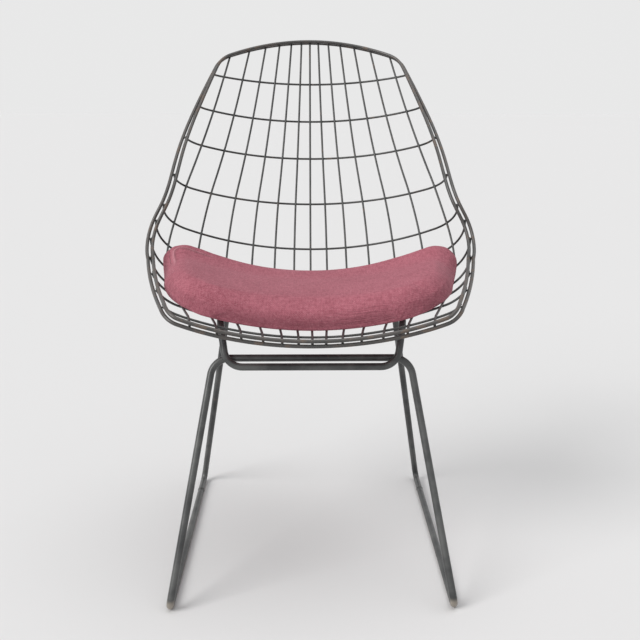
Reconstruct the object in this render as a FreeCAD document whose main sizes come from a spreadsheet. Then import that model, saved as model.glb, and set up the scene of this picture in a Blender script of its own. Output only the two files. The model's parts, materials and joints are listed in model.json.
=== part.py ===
import FreeCAD, Part
import math
import os

from FreeCAD import Vector

# Wire mesh chair, in millimetres: x runs to the chair's own left, y to its back and z up. The origin is on
# the floor, in the middle of the chair's outline. Until HOME moves them there, all places are counted from
# the line between the two front feet.

doc = FreeCAD.newDocument("wire_mesh_chair")
sheet = doc.addObject("Spreadsheet::Sheet", "sizes")

SIZES = (
    # wire and rod gauges
    ("rod_diameter", 11.0),
    ("rim_diameter", 5.5),
    ("mesh_diameter", 3.5),
    ("touch_gap", 0.12),
    # base, measured between rod centres where two straight runs meet
    ("foot_spacing", 418.0),
    ("runner_length", 463.0),
    ("foot_bend", 13.0),
    ("crossbar_width", 297.0),
    ("crossbar_drop", 58.5),
    ("crossbar_setback", 137.0),
    ("crossbar_bend", 30.0),
    ("lower_bar_drop", 14.5),
    ("lower_bar_width", 256.0),
    ("lower_bar_bend", 28.0),
    ("rail_spacing", 278.0),
    ("rail_front_bend", 30.0),
    ("rail_rear_bend", 35.0),
    ("rear_leg_lean", 158.0),
    ("runner_joint", 60.0),
    # profile of the shell on the middle plane, at the middle of the mesh
    ("front_edge_inset", 46.0),
    ("seat_height", 407.0),
    ("seat_fall", 4.0),
    ("seat_length", 180.0),
    ("heel_radius", 200.0),
    ("heel_turn", 66.0),
    ("back_radius", 1800.0),
    ("back_height", 831.0),
    ("lip_radius", 60.0),
    ("lip_length", 26.0),
    # cross section of the shell
    ("back_dish", 300.0),
    ("seat_dish", 560.0),
    ("curl_radius", 72.0),
    ("curl_share", 0.65),
    ("curl_from", 180.0),
    ("top_flattening", 0.45),
    ("dish_blend_start", 270.0),
    # outline of the shell, laid out flat
    ("top_edge_radius", 330.0),
    ("top_corner_radius", 60.0),
    ("top_half_width", 145.0),
    ("upper_flare", 0.47),
    ("side_radius", 380.0),
    ("front_half_width", 214.0),
    ("front_taper", 0.385),
    ("front_corner_radius", 34.0),
    ("front_edge_radius", 2500.0),
    # mesh
    ("first_row", 79.0),
    ("upper_pitch", 70.5),
    ("lower_pitch", 86.0),
    ("long_share", 0.82),
    ("long_top_share", 0.12),
    ("long_even", 0.61),
    # cushion, along the profile and across it
    ("cushion_front_gap", 17.0),
    ("cushion_length", 290.0),
    ("cushion_half_width", 262.0),
    ("cushion_front_half_width", 231.0),
    ("cushion_corner", 54.0),
    ("cushion_thickness", 37.0),
    ("cushion_crown", 8.0),
    ("cushion_draw_in", 5.0),
    ("cushion_end_round", 26.0),
    ("cushion_clearance", 0.45),
)
for number, (alias, value) in enumerate(SIZES, start=1):
    sheet.set("A%d" % number, alias)
    sheet.set("B%d" % number, repr(value))
    sheet.setAlias("B%d" % number, alias)
doc.recompute()


def size(alias):
    """The value that the sheet holds under this alias."""
    return float(sheet.get(alias))


# The counts are whole numbers that shape the mesh.
UPPER_ROWS = 3
LOWER_ROWS = 2
SEAT_ROWS = 6
WIRES_PER_SIDE = 6
MESH_SIDES = 4
RIM_SIDES = 6
ROD_SIDES = 8

ROD = size("rod_diameter") / 2
RIM = size("rim_diameter") / 2
MESH = size("mesh_diameter") / 2
GAP = size("touch_gap")
UP = Vector(0, 0, 1)
ACROSS = Vector(1, 0, 0)


# Profile of the shell. A station is the length from the top rim, down the back and along the seat to the
# front. Its recline is the angle of the profile from upright, 0 for a wall and 90 degrees for a floor.
FALL = math.radians(size("seat_fall"))
SEAT_RECLINE = math.pi / 2 + FALL
HEEL_TURN = math.radians(size("heel_turn"))
HEEL_RECLINE = SEAT_RECLINE - HEEL_TURN


def forward(recline):
    """Unit vector along the profile, towards the front, at a recline."""
    return Vector(0, -math.sin(recline), -math.cos(recline))


def seat_side(recline):
    """Unit vector square to the profile, on the side that one sits on."""
    return Vector(0, -math.cos(recline), math.sin(recline))


LIP_START = Vector(0, size("front_edge_inset"), size("seat_height"))
SEAT_END = LIP_START - forward(SEAT_RECLINE) * size("seat_length")
HEEL_CENTRE = SEAT_END + seat_side(SEAT_RECLINE) * size("heel_radius")
HEEL_TOP = HEEL_CENTRE - seat_side(HEEL_RECLINE) * size("heel_radius")
BACK_CENTRE = HEEL_TOP + seat_side(HEEL_RECLINE) * size("back_radius")
TOP_RECLINE = math.asin((BACK_CENTRE.z - size("back_height")) / size("back_radius"))
LIP_CENTRE = LIP_START - seat_side(SEAT_RECLINE) * size("lip_radius")

BACK_LENGTH = size("back_radius") * (HEEL_RECLINE - TOP_RECLINE)
HEEL_LENGTH = size("heel_radius") * HEEL_TURN
SEAT_STATION = BACK_LENGTH + HEEL_LENGTH
LIP_STATION = SEAT_STATION + size("seat_length")
FRONT_STATION = LIP_STATION + size("lip_length")


def profile(station):
    """Point of the profile and its recline at a station: back arc, heel arc, straight seat, lip arc."""
    if station <= BACK_LENGTH:
        recline = TOP_RECLINE + station / size("back_radius")
        return BACK_CENTRE - seat_side(recline) * size("back_radius"), recline
    if station <= SEAT_STATION:
        recline = HEEL_RECLINE + (station - BACK_LENGTH) / size("heel_radius")
        return HEEL_CENTRE - seat_side(recline) * size("heel_radius"), recline
    if station <= LIP_STATION:
        return SEAT_END + forward(SEAT_RECLINE) * (station - SEAT_STATION), SEAT_RECLINE
    recline = SEAT_RECLINE - (station - LIP_STATION) / size("lip_radius")
    return LIP_CENTRE + seat_side(recline) * size("lip_radius"), recline


# Length over which a direction on the shell is measured.
STEP = 0.01


# Outline of the shell, laid out flat. Each point is (station, reach), where reach is the length from the
# middle plane along the cross section. Two straight flanks meet in a wide arc at the arms, a shallow arc
# closes the top and another the front, and the four corners are rounded.
def flank_arc():
    """Centre of the side arc and the stations where it leaves the upper and the lower flank."""
    upper = math.atan(size("upper_flare"))
    lower = math.atan(size("front_taper"))
    slope_sum = size("upper_flare") + size("front_taper")
    rise = size("front_half_width") + size("front_taper") * LIP_STATION - size("top_half_width")
    corner_station = rise / slope_sum
    corner_reach = size("top_half_width") + size("upper_flare") * corner_station
    run = size("side_radius") * math.tan((upper + lower) / 2)
    start = corner_station - run * math.cos(upper)
    end = corner_station + run * math.cos(lower)
    centre_station = start + size("side_radius") * math.sin(upper)
    centre_reach = corner_reach - run * math.sin(upper) - size("side_radius") * math.cos(upper)
    return centre_station, centre_reach, start, end


SIDE_STATION, SIDE_REACH, SIDE_START, SIDE_END = flank_arc()


def flank(station):
    """Half width of the flat outline at a station, before its corners are rounded."""
    if station < SIDE_START:
        return size("top_half_width") + size("upper_flare") * station
    if station > SIDE_END:
        return size("front_half_width") - size("front_taper") * (station - LIP_STATION)
    return SIDE_REACH + math.sqrt(size("side_radius") ** 2 - (station - SIDE_STATION) ** 2)


def rounded_corner(edge_centre, edge_radius, corner_radius, reach_at_zero, slope, end):
    """Centre of a corner that is tangent to an end arc and to a straight flank.

    The flank is the line reach = reach_at_zero + slope * station, and the end arc has its centre on the
    middle plane. The corner's centre lies on the flank moved in by the corner's radius, at the end arc's
    radius less its own from that arc's centre. end is -1 for the corner at the top and 1 at the front.
    """
    moved_in = reach_at_zero - corner_radius * math.hypot(1, slope)
    distance = edge_radius - corner_radius
    square = 1 + slope ** 2
    half = slope * moved_in - edge_centre
    rest = edge_centre ** 2 + moved_in ** 2 - distance ** 2
    station = (-half + end * math.sqrt(half ** 2 - square * rest)) / square
    return station, moved_in + slope * station


TOP_RADIUS = size("top_edge_radius")
TOP_BEND = size("top_corner_radius")
TOP_CENTRE = TOP_RADIUS
TOP_CORNER = rounded_corner(TOP_CENTRE, TOP_RADIUS, TOP_BEND, size("top_half_width"), size("upper_flare"), -1)
FRONT_RADIUS = size("front_edge_radius")
FRONT_BEND = size("front_corner_radius")
FRONT_CENTRE = FRONT_STATION - FRONT_RADIUS
FRONT_REACH = size("front_half_width") + size("front_taper") * LIP_STATION
FRONT_CORNER = rounded_corner(FRONT_CENTRE, FRONT_RADIUS, FRONT_BEND, FRONT_REACH, -size("front_taper"), 1)

# The angles at which the arcs meet, counted from the direction of the end that they close.
TOP_ANGLE = math.atan2(TOP_CORNER[1], TOP_CENTRE - TOP_CORNER[0])
TOP_TURN = math.pi / 2 - math.atan(size("upper_flare"))
FRONT_ANGLE = math.atan2(FRONT_CORNER[1], FRONT_CORNER[0] - FRONT_CENTRE)
FRONT_TURN = math.pi / 2 - math.atan(size("front_taper"))


def top_edge(reach):
    """Station of the outline's top edge at a reach from the middle plane."""
    if reach <= TOP_RADIUS * math.sin(TOP_ANGLE):
        return TOP_CENTRE - math.sqrt(TOP_RADIUS ** 2 - reach ** 2)
    return TOP_CORNER[0] - math.sqrt(TOP_BEND ** 2 - (reach - TOP_CORNER[1]) ** 2)


def front_edge(reach):
    """Station of the outline's front edge at a reach from the middle plane."""
    if reach <= FRONT_RADIUS * math.sin(FRONT_ANGLE):
        return FRONT_CENTRE + math.sqrt(FRONT_RADIUS ** 2 - reach ** 2)
    return FRONT_CORNER[0] + math.sqrt(FRONT_BEND ** 2 - (reach - FRONT_CORNER[1]) ** 2)


def side_edge(station):
    """Reach of the outline's side at a station, corners included."""
    if station < TOP_CORNER[0] - TOP_BEND * math.cos(TOP_TURN):
        return TOP_CORNER[1] + math.sqrt(TOP_BEND ** 2 - (station - TOP_CORNER[0]) ** 2)
    if station > FRONT_CORNER[0] + FRONT_BEND * math.cos(FRONT_TURN):
        return FRONT_CORNER[1] + math.sqrt(FRONT_BEND ** 2 - (station - FRONT_CORNER[0]) ** 2)
    return flank(station)


def arc_stops(centre, radius, start, end, count, towards):
    """Stops along an arc, at angles counted from the top (towards -1) or from the front (towards 1)."""
    stops = []
    for index in range(count):
        angle = start + (end - start) * index / count
        station = centre[0] + towards * radius * math.cos(angle)
        reach = centre[1] + radius * math.sin(angle)
        stops.append((station, reach, (math.sin(angle), -towards * math.cos(angle))))
    return stops


def side_stops(start, end, count):
    """Stops along a flank or along the wide arc between the two flanks."""
    stops = []
    for index in range(count):
        station = start + (end - start) * index / count
        slope = (flank(station + STEP) - flank(station - STEP)) / (2 * STEP)
        stops.append((station, flank(station), (1.0, slope)))
    return stops


def outline_stops():
    """Half the outline, from the middle of the top to the middle of the front: station, reach, heading."""
    upper_start = TOP_CORNER[0] - TOP_BEND * math.cos(TOP_TURN)
    lower_end = FRONT_CORNER[0] + FRONT_BEND * math.cos(FRONT_TURN)
    stops = arc_stops((TOP_CENTRE, 0), TOP_RADIUS, 0, TOP_ANGLE, 1, -1)
    stops += arc_stops(TOP_CORNER, TOP_BEND, TOP_ANGLE, TOP_TURN, 1, -1)
    stops += side_stops(upper_start, SIDE_START, 2)
    stops += side_stops(SIDE_START, SIDE_END, 5)
    stops += side_stops(SIDE_END, lower_end, 2)
    stops += arc_stops(FRONT_CORNER, FRONT_BEND, FRONT_TURN, FRONT_ANGLE, 1, 1)
    stops += arc_stops((FRONT_CENTRE, 0), FRONT_RADIUS, FRONT_ANGLE, 0, 1, 1)
    return stops + [(FRONT_STATION, 0.0, (0.0, -1.0))]


# Surface of the mesh: the profile carries a cross section that is a shallow arc with a tighter arc curling
# up at each arm.
FLAT_END = size("first_row") + size("upper_pitch")


def smooth_step(share):
    share = min(max(share, 0.0), 1.0)
    return share * share * (3 - 2 * share)


def dish_radius(station):
    """Radius of the shallow middle of the cross section, flatter at the top rim and on the seat."""
    start = size("dish_blend_start")
    seat = smooth_step((station - start) / (SEAT_STATION - start))
    bend = (1 - seat) / size("back_dish") + seat / size("seat_dish")
    top = max(0.0, 1 - station / FLAT_END) ** 2
    return 1 / (bend * (1 - size("top_flattening") * top))


def curl_start(station):
    """Reach at which the cross section begins to curl up."""
    width = flank(station)
    return width - size("curl_share") * max(0.0, width - size("curl_from"))


def surface(station, reach, lift=0.0):
    """Point of the shell at a height lift above the middle of the mesh."""
    middle, recline = profile(station)
    dish = dish_radius(station)
    start = min(abs(reach), curl_start(station))
    angle = start / dish
    width = dish * math.sin(angle)
    rise = dish * (1 - math.cos(angle))
    curl = size("curl_radius")
    slope = angle + (abs(reach) - start) / curl
    width += curl * (math.sin(slope) - math.sin(angle))
    rise += curl * (math.cos(angle) - math.cos(slope))
    width -= lift * math.sin(slope)
    rise += lift * math.cos(slope)
    return middle + ACROSS * math.copysign(width, reach) + seat_side(recline) * rise


def normal(station, reach):
    """Unit vector out of the shell on the sitter's side."""
    step = surface(station, reach, 1.0) - surface(station, reach)
    return step.normalize()


def polygon_factor(sides):
    """Circumradius of a regular polygon whose area is that of a circle of radius 1."""
    turn = 2 * math.pi / sides
    return math.sqrt(turn / math.sin(turn))


# Wire paths: chains of arcs that run smoothly into each other.
def arc_edge(start, direction, end):
    """Arc, or straight edge, that leaves start in a direction and reaches end."""
    chord = end - start
    along = Vector(chord).normalize()
    aside = direction - along * direction.dot(along)
    if aside.Length < 1e-5:
        return Part.LineSegment(start, end).toShape()
    half_turn = math.atan2(aside.Length, direction.dot(along))
    middle = (start + end) / 2 + aside.normalize() * (chord.Length / 2 * math.tan(half_turn / 2))
    return Part.Arc(start, middle, end).toShape()


def leaving(start, end, arriving):
    """Direction in which the arc leaves start that reaches end in the direction arriving."""
    along = (end - start).normalize()
    return along * (2 * along.dot(arriving)) - arriving


def biarc_edges(start, start_direction, end, end_direction):
    """Two arcs from one point and direction to another, with equal reach at both ends."""
    chord = end - start
    both = start_direction + end_direction
    spread = 2 * (1 - start_direction.dot(end_direction))
    along = chord.dot(both)
    if spread < 1e-9:
        reach = chord.Length ** 2 / (2 * chord.dot(start_direction)) / 2
    else:
        reach = (math.sqrt(along ** 2 + spread * chord.Length ** 2) - along) / spread
    first = start + start_direction * reach
    second = end - end_direction * reach
    join = (first + second) / 2
    join_direction = (second - first).normalize()
    return [arc_edge(start, start_direction, join), arc_edge(join, join_direction, end)]


def smooth_edges(points, directions):
    """Biarc edges through points, each with its direction."""
    edges = []
    for index in range(len(points) - 1):
        edges += biarc_edges(points[index], directions[index], points[index + 1], directions[index + 1])
    return edges


def heading(route, stop):
    """Unit direction of a route at a stop."""
    return (route(stop + STEP) - route(stop - STEP)).normalize()


def route_edges(route, stops):
    """Biarc edges through route(stop) for each stop."""
    return smooth_edges([route(stop) for stop in stops], [heading(route, stop) for stop in stops])


def bent_edges(corners, radii):
    """Straight runs between corners, with an arc of the given radius at each inner corner."""
    edges = []
    start = corners[0]
    for index, radius in enumerate(radii, start=1):
        corner = corners[index]
        arriving = (corner - corners[index - 1]).normalize()
        leaving = (corners[index + 1] - corner).normalize()
        run = radius * math.tan(arriving.getAngle(leaving) / 2)
        bend_start = corner - arriving * run
        bend_end = corner + leaving * run
        edges.append(Part.LineSegment(start, bend_start).toShape())
        edges.append(arc_edge(bend_start, arriving, bend_end))
        start = bend_end
    edges.append(Part.LineSegment(start, corners[-1]).toShape())
    return edges


# Routes on the shell. The long wires lie on the seat side and the cross wires under them. From its last
# crossing each wire bends to the middle of the mesh, where its end lies between the two rims.
ROWS = [size("first_row") + size("upper_pitch") * row for row in range(UPPER_ROWS)]
ROWS += [ROWS[-1] + size("lower_pitch") * (row + 1) for row in range(LOWER_ROWS)]
SEAT_PITCH = (LIP_STATION - ROWS[-1]) / SEAT_ROWS
ROWS += [ROWS[-1] + SEAT_PITCH * (row + 1) for row in range(SEAT_ROWS)]
MESH_LIFT = MESH + GAP / 2
BACK_MIDDLE = (ROWS[0] + BACK_LENGTH) / 2
CURL_LEAST = 12.0  # shortest arc that a curl gets of its own
RIM_LIFT = MESH + GAP + RIM


def long_reach(station, number):
    """Reach of a long wire, counted from 0 in the middle; the wires spread out towards the arms."""
    part = number / WIRES_PER_SIDE
    share = size("long_even") * part + (1 - size("long_even")) * part ** 2
    top = max(0.0, 1 - station / SIDE_START) ** 2
    return share * flank(station) * (size("long_share") + size("long_top_share") * top)


def long_wire_ends(number):
    """Stations where a long wire meets the outline at the top and at the front."""
    top, front = 0.0, FRONT_STATION
    for _ in range(30):
        top = top_edge(long_reach(top, number))
        front = front_edge(long_reach(front, number))
    return top, front


def long_wire_edges(number):
    """Path of a long wire, from the top rim down the back and along the seat to the front rim."""
    top, front = long_wire_ends(number)

    def route(station):
        return surface(station, long_reach(station, number), MESH_LIFT)

    def end_point(station):
        return surface(station, long_reach(station, number))

    first, last = ROWS[0], ROWS[-1]
    heel_middle = (BACK_LENGTH + SEAT_STATION) / 2
    start = end_point(top)
    edges = [arc_edge(start, leaving(start, route(first), heading(route, first)), route(first))]
    edges += route_edges(route, [first, BACK_MIDDLE, BACK_LENGTH, heel_middle, SEAT_STATION, last])
    edges.append(arc_edge(route(last), heading(route, last), end_point(front)))
    return edges


def reflected(point):
    """Mirror image of a point in the middle plane."""
    return Vector(-point.x, point.y, point.z)


def reflected_arc(edge):
    """Mirror image of an arc, run through the other way."""
    places = [edge.LastParameter, (edge.FirstParameter + edge.LastParameter) / 2, edge.FirstParameter]
    return Part.Arc(*[reflected(edge.valueAt(place)) for place in places]).toShape()


def cross_wire_edges(station):
    """Path of a cross wire, from rim to rim: a wide arc in the middle, the curls, and arcs to both tips."""
    end = side_edge(station)
    last = long_reach(station, WIRES_PER_SIDE)
    curl = curl_start(station)
    stops = [last]
    if curl < last - CURL_LEAST:
        stops = [curl, last]
    elif curl < end - CURL_LEAST:
        stops = [max(curl, last)]
    points = [surface(station, stop, -MESH_LIFT) for stop in stops] + [surface(station, end)]
    middle = Part.Arc(reflected(points[0]), surface(station, 0.0, -MESH_LIFT), points[0]).toShape()
    left = [middle]
    for start, stop in zip(points, points[1:]):
        left.append(arc_edge(start, left[-1].tangentAt(left[-1].LastParameter), stop))
    return [reflected_arc(edge) for edge in reversed(left[1:])] + left


def rim_edges(lift):
    """Half a rim, from the middle of the top round the left side to the middle of the front."""
    points = []
    directions = []
    for station, reach, (ahead, aside) in outline_stops():
        points.append(surface(station, reach, lift))
        if reach == 0:
            directions.append(ACROSS * aside)
            continue
        after = surface(station + STEP * ahead, reach + STEP * aside, lift)
        before = surface(station - STEP * ahead, reach - STEP * aside, lift)
        directions.append((after - before).normalize())
    return smooth_edges(points, directions)


# Base: two bent rods. The front one is a hoop whose ends run back along the floor. The rear one starts at
# those ends, rises as the rear legs, runs forward under the seat as two rails and drops in front of the
# crossbar to a lower bar of its own.
SEAT_DISH = size("seat_dish")
RAIL_DROP = 2 * MESH + 1.5 * GAP + ROD
RAIL_ANGLE = math.asin(size("rail_spacing") / 2 / (SEAT_DISH + RAIL_DROP))
RAIL_RISE = SEAT_DISH * (1 - math.cos(RAIL_ANGLE)) - RAIL_DROP * math.cos(RAIL_ANGLE)
RAIL_START = LIP_START + seat_side(SEAT_RECLINE) * RAIL_RISE
CROSSBAR_HEIGHT = size("seat_height") - size("crossbar_drop")
RUNNER_HEIGHT = ROD * polygon_factor(ROD_SIDES) * math.cos(math.pi / ROD_SIDES)
LEG_SLOPE = Vector(0, size("crossbar_setback"), CROSSBAR_HEIGHT - RUNNER_HEIGHT).normalize()
LEG_FRONT = Vector(0, -LEG_SLOPE.z, LEG_SLOPE.y)
JOINT_DEPTH = size("runner_length") - size("runner_joint")


def rail_point(depth):
    """Point of the middle line between the rails at a depth from the front feet."""
    run = RAIL_START - SEAT_END - seat_side(SEAT_RECLINE) * RAIL_RISE
    return RAIL_START + run * ((depth - RAIL_START.y) / run.y)


def at_side(point, half_width, side):
    return Vector(side * half_width, point.y, point.z)


def mirrored_route(left_corners):
    """Corners of the left side followed by their mirror images, from the last back to the first."""
    return left_corners + [at_side(corner, corner.x, -1) for corner in reversed(left_corners)]


def front_leg_corners():
    half_feet = size("foot_spacing") / 2
    crossbar = Vector(size("crossbar_width") / 2, size("crossbar_setback"), CROSSBAR_HEIGHT)
    return [
        Vector(half_feet, JOINT_DEPTH - GAP / 2, RUNNER_HEIGHT),
        Vector(half_feet, 0, RUNNER_HEIGHT),
        crossbar,
    ]


def seat_leg_corners():
    half_feet = size("foot_spacing") / 2
    half_rails = size("rail_spacing") / 2
    rod_reach = ROD * polygon_factor(ROD_SIDES)
    bar_front = Vector(0, size("crossbar_setback"), CROSSBAR_HEIGHT) + LEG_FRONT * (2 * rod_reach + GAP)
    lower_bar = bar_front - LEG_SLOPE * size("lower_bar_drop")
    # The rail meets the plane of the uprights where both have the same height.
    rail_slope = rail_point(1.0).z - rail_point(0.0).z
    leg_rise = LEG_SLOPE.z / LEG_SLOPE.y
    meeting = (rail_point(0.0).z - bar_front.z + leg_rise * bar_front.y) / (leg_rise - rail_slope)
    return [
        Vector(half_feet, JOINT_DEPTH + GAP / 2, RUNNER_HEIGHT),
        Vector(half_feet, size("runner_length"), RUNNER_HEIGHT),
        at_side(rail_point(size("runner_length") - size("rear_leg_lean")), half_rails, 1),
        at_side(rail_point(meeting), half_rails, 1),
        at_side(lower_bar, size("lower_bar_width") / 2, 1),
    ]


def mirrored_bends(bends):
    return bends + bends[::-1]


FRONT_LEG_EDGES = bent_edges(
    mirrored_route(front_leg_corners()),
    mirrored_bends([size("foot_bend"), size("crossbar_bend")]),
)
SEAT_LEG_BENDS = ("foot_bend", "rail_rear_bend", "rail_front_bend", "lower_bar_bend")
SEAT_LEG_EDGES = bent_edges(
    mirrored_route(seat_leg_corners()),
    mirrored_bends([size(bend) for bend in SEAT_LEG_BENDS]),
)
OUTER_RIM_EDGES = rim_edges(-RIM_LIFT)
INNER_RIM_EDGES = rim_edges(RIM_LIFT)

# The chair's outline runs from the front feet to the top rim.
FRONT_MOST = Part.Wire(FRONT_LEG_EDGES).BoundBox.YMin - ROD
REAR_MOST = Part.Wire(OUTER_RIM_EDGES).BoundBox.YMax + RIM
HOME = FreeCAD.Placement(Vector(0, -(FRONT_MOST + REAR_MOST) / 2, 0), FreeCAD.Rotation())


# Cushion: a loose pad that lies on the long wires and follows the shell. It is lofted along the profile
# through closed many-sided sections, thinner and narrower towards its front and rear edges.
CUSHION_FRONT = LIP_STATION - size("cushion_front_gap")
CUSHION_BED = MESH_LIFT + MESH + size("cushion_clearance")
END_PLACES = (1.5, 8.0, 26.0)  # distances of the sections from either end
HEEL_SECTIONS = 3  # sections between those, from the end of the flat seat up the heel
SIDE_DEPTH = 0.6  # depth of a rounded side, as a share of the thickness there
WIDE_STEPS = 4  # steps of half a section: over its shallow middle, its curl and its rounded side
CURL_STEPS = 3
SIDE_STEPS = 4
CUSHION_CURL_LEAST = 25.0  # least reach of the steps between the middle of a section and its side


def cushion_half_width(share, distance):
    """Half width at a share of the length from the front and at a distance from the nearer end."""
    front = size("cushion_front_half_width")
    width = front + (size("cushion_half_width") - front) * share
    width -= size("cushion_draw_in") * math.sin(math.pi * share)
    corner = size("cushion_corner")
    short = max(0.0, corner - distance)
    return width - corner + math.sqrt(corner ** 2 - short ** 2)


def cushion_section(place):
    """Closed section at a length from the front of the cushion."""
    length = size("cushion_length")
    station = CUSHION_FRONT - place
    share = place / length
    distance = min(place, length - place)
    ending = 1 - min(distance / size("cushion_end_round"), 1.0)
    full = size("cushion_thickness")
    thick = full * math.sqrt(1 - ending ** 2)
    crown = size("cushion_crown") * math.sin(math.pi * share)
    bed = CUSHION_BED + (full - thick) / 2
    width = cushion_half_width(share, distance)
    edge = SIDE_DEPTH * thick
    split = min(curl_start(station), width - edge - CUSHION_CURL_LEAST)

    def at(reach, height):
        rise = crown * (1 - (reach / width) ** 2) * max(0.0, 2 * height - 1)
        return surface(station, reach, bed + thick * height + rise)

    inner = width - edge
    reaches = [split * step / WIDE_STEPS for step in range(WIDE_STEPS)]
    reaches += [split + (inner - split) * step / CURL_STEPS for step in range(CURL_STEPS)]
    turns = [math.pi * (step / SIDE_STEPS - 0.5) for step in range(SIDE_STEPS + 1)]
    left = [at(reach, 0.0) for reach in reaches]
    left += [at(inner + edge * math.cos(turn), (1 + math.sin(turn)) / 2) for turn in turns]
    left += [at(reach, 1.0) for reach in reversed(reaches)]
    right = [reflected(point) for point in reversed(left[1:-1])]
    return Part.makePolygon(left + right + [left[0]])


# Pieces
NODES = {}


def bent_wire(name, edges, gauge, sides, flat_side=UP):
    """Wire along edges, with a many-sided section of the round wire's area that turns a flat to flat_side."""
    path = doc.addObject("Part::Feature", name + "_path")
    path.Shape = Part.Wire(edges)
    path.Placement = HOME
    first = edges[0]
    start = first.valueAt(first.FirstParameter)
    along = first.tangentAt(first.FirstParameter)
    section = doc.addObject("Part::RegularPolygon", name + "_section")
    section.Polygon = sides
    section.setExpression("Circumradius", "sizes.%s / 2 * %r" % (gauge, polygon_factor(sides)))
    facing = FreeCAD.Rotation(flat_side, Vector(), along, "ZXY")
    half_side = FreeCAD.Rotation(Vector(0, 0, 1), 180.0 / sides)
    section.Placement = HOME * FreeCAD.Placement(start, facing * half_side)
    wire = doc.addObject("Part::Sweep", name)
    wire.Sections = [section]
    wire.Spine = (path, ["Edge%d" % number for number in range(1, len(edges) + 1)])
    wire.Solid = True
    wire.Frenet = False
    return wire


def mirror_image(name, source):
    image = doc.addObject("Part::Mirroring", name)
    image.Source = source
    image.Normal = ACROSS
    return image


def rim(name, edges, lift_side):
    half = bent_wire(name + "_half", edges, "rim_diameter", RIM_SIDES, normal(0.0, 0.0) * lift_side)
    whole = doc.addObject("Part::Fuse", name)
    whole.Base = half
    whole.Tool = mirror_image(name + "_mirrored", half)
    NODES[name] = whole


rim("inner_rim", INNER_RIM_EDGES, 1)
rim("outer_rim", OUTER_RIM_EDGES, -1)

NODES["long_wire_centre"] = bent_wire(
    "long_wire_centre", long_wire_edges(0), "mesh_diameter", MESH_SIDES, normal(0.0, 0.0)
)
for number in range(1, WIRES_PER_SIDE + 1):
    top, _ = long_wire_ends(number)
    left = bent_wire(
        "long_wire_left_%d" % number,
        long_wire_edges(number),
        "mesh_diameter",
        MESH_SIDES,
        normal(top, long_reach(top, number)),
    )
    NODES[left.Name] = left
    right = mirror_image("long_wire_right_%d" % number, left)
    NODES[right.Name] = right

for number, station in enumerate(ROWS, start=1):
    name = "cross_wire_%02d" % number
    NODES[name] = bent_wire(
        name, cross_wire_edges(station), "mesh_diameter", MESH_SIDES, normal(station, -side_edge(station))
    )

for name, edges in (("front_leg_frame", FRONT_LEG_EDGES), ("seat_leg_frame", SEAT_LEG_EDGES)):
    NODES[name] = bent_wire(name, edges, "rod_diameter", ROD_SIDES)


def cushion_pad():
    """Pad lofted through its sections, which lie closer near its front and rear edges."""
    length = size("cushion_length")
    heel_start = CUSHION_FRONT - SEAT_STATION
    heel_step = (length - END_PLACES[-1] - heel_start) / HEEL_SECTIONS
    heel = [heel_start + heel_step * index for index in range(HEEL_SECTIONS)]
    places = list(END_PLACES) + heel + [length - place for place in reversed(END_PLACES)]
    sections = []
    for number, place in enumerate(places, start=1):
        section = doc.addObject("Part::Feature", "cushion_section_%d" % number)
        section.Shape = cushion_section(place)
        section.Placement = HOME
        sections.append(section)
    loft = doc.addObject("Part::Loft", "cushion")
    loft.Sections = sections
    loft.Solid = True
    loft.Ruled = True
    return loft


NODES["cushion"] = cushion_pad()


doc.recompute()
for thing in doc.Objects:
    if "Invalid" in thing.State or "Error" in thing.State:
        raise RuntimeError("%s failed: %s" % (thing.Name, thing.State))
for name, piece in NODES.items():
    piece.Label = name
    if piece.Shape.isNull() or not piece.Shape.isValid():
        raise RuntimeError("%s has no valid shape" % name)
os.makedirs("parts", exist_ok=True)
for name, piece in NODES.items():
    if len(piece.Shape.Solids) != 1:
        raise RuntimeError("%s is not one solid" % name)
for piece in NODES.values():
    piece.Shape.exportStep("parts/%s.step" % piece.Label)
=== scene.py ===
import json
import math

import bpy
import numpy as np
from mathutils import Matrix, Vector

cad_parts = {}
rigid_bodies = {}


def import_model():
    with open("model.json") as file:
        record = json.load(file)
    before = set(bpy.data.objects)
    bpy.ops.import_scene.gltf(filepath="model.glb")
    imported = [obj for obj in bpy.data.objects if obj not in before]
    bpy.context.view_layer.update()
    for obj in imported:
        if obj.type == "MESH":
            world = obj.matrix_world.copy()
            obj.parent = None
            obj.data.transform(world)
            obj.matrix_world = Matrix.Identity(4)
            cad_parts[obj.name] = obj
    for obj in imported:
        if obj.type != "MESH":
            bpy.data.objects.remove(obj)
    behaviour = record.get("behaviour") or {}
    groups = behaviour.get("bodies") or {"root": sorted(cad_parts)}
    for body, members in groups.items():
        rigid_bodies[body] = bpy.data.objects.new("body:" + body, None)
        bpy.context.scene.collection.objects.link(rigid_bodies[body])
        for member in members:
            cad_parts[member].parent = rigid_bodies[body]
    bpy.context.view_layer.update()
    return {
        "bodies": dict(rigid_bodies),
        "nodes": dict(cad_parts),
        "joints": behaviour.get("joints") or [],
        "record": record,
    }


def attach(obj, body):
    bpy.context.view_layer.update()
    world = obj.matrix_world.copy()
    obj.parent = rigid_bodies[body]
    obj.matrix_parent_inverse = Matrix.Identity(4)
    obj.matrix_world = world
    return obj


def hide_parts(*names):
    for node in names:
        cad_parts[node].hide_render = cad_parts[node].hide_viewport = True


# Wire mesh chair, smooth and finished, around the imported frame. Places are worked out in millimetres and
# counted from the line between the two front feet: x to the chair's own left, y to its back and z up.
# HOME_Y and MM move them to the frame, which is in metres.
MM = 0.001
HOME_Y = -279.75  # the frame's origin is midway between the front feet and the top rim's rear
CHAIR = "chair"
CUSHION = "cushion"

# Gauges
ROD = 5.5
RIM = 2.75
MESH = 1.75
WELD_SINK = 0.25  # depth by which a resistance weld sinks each wire into the next

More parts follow.
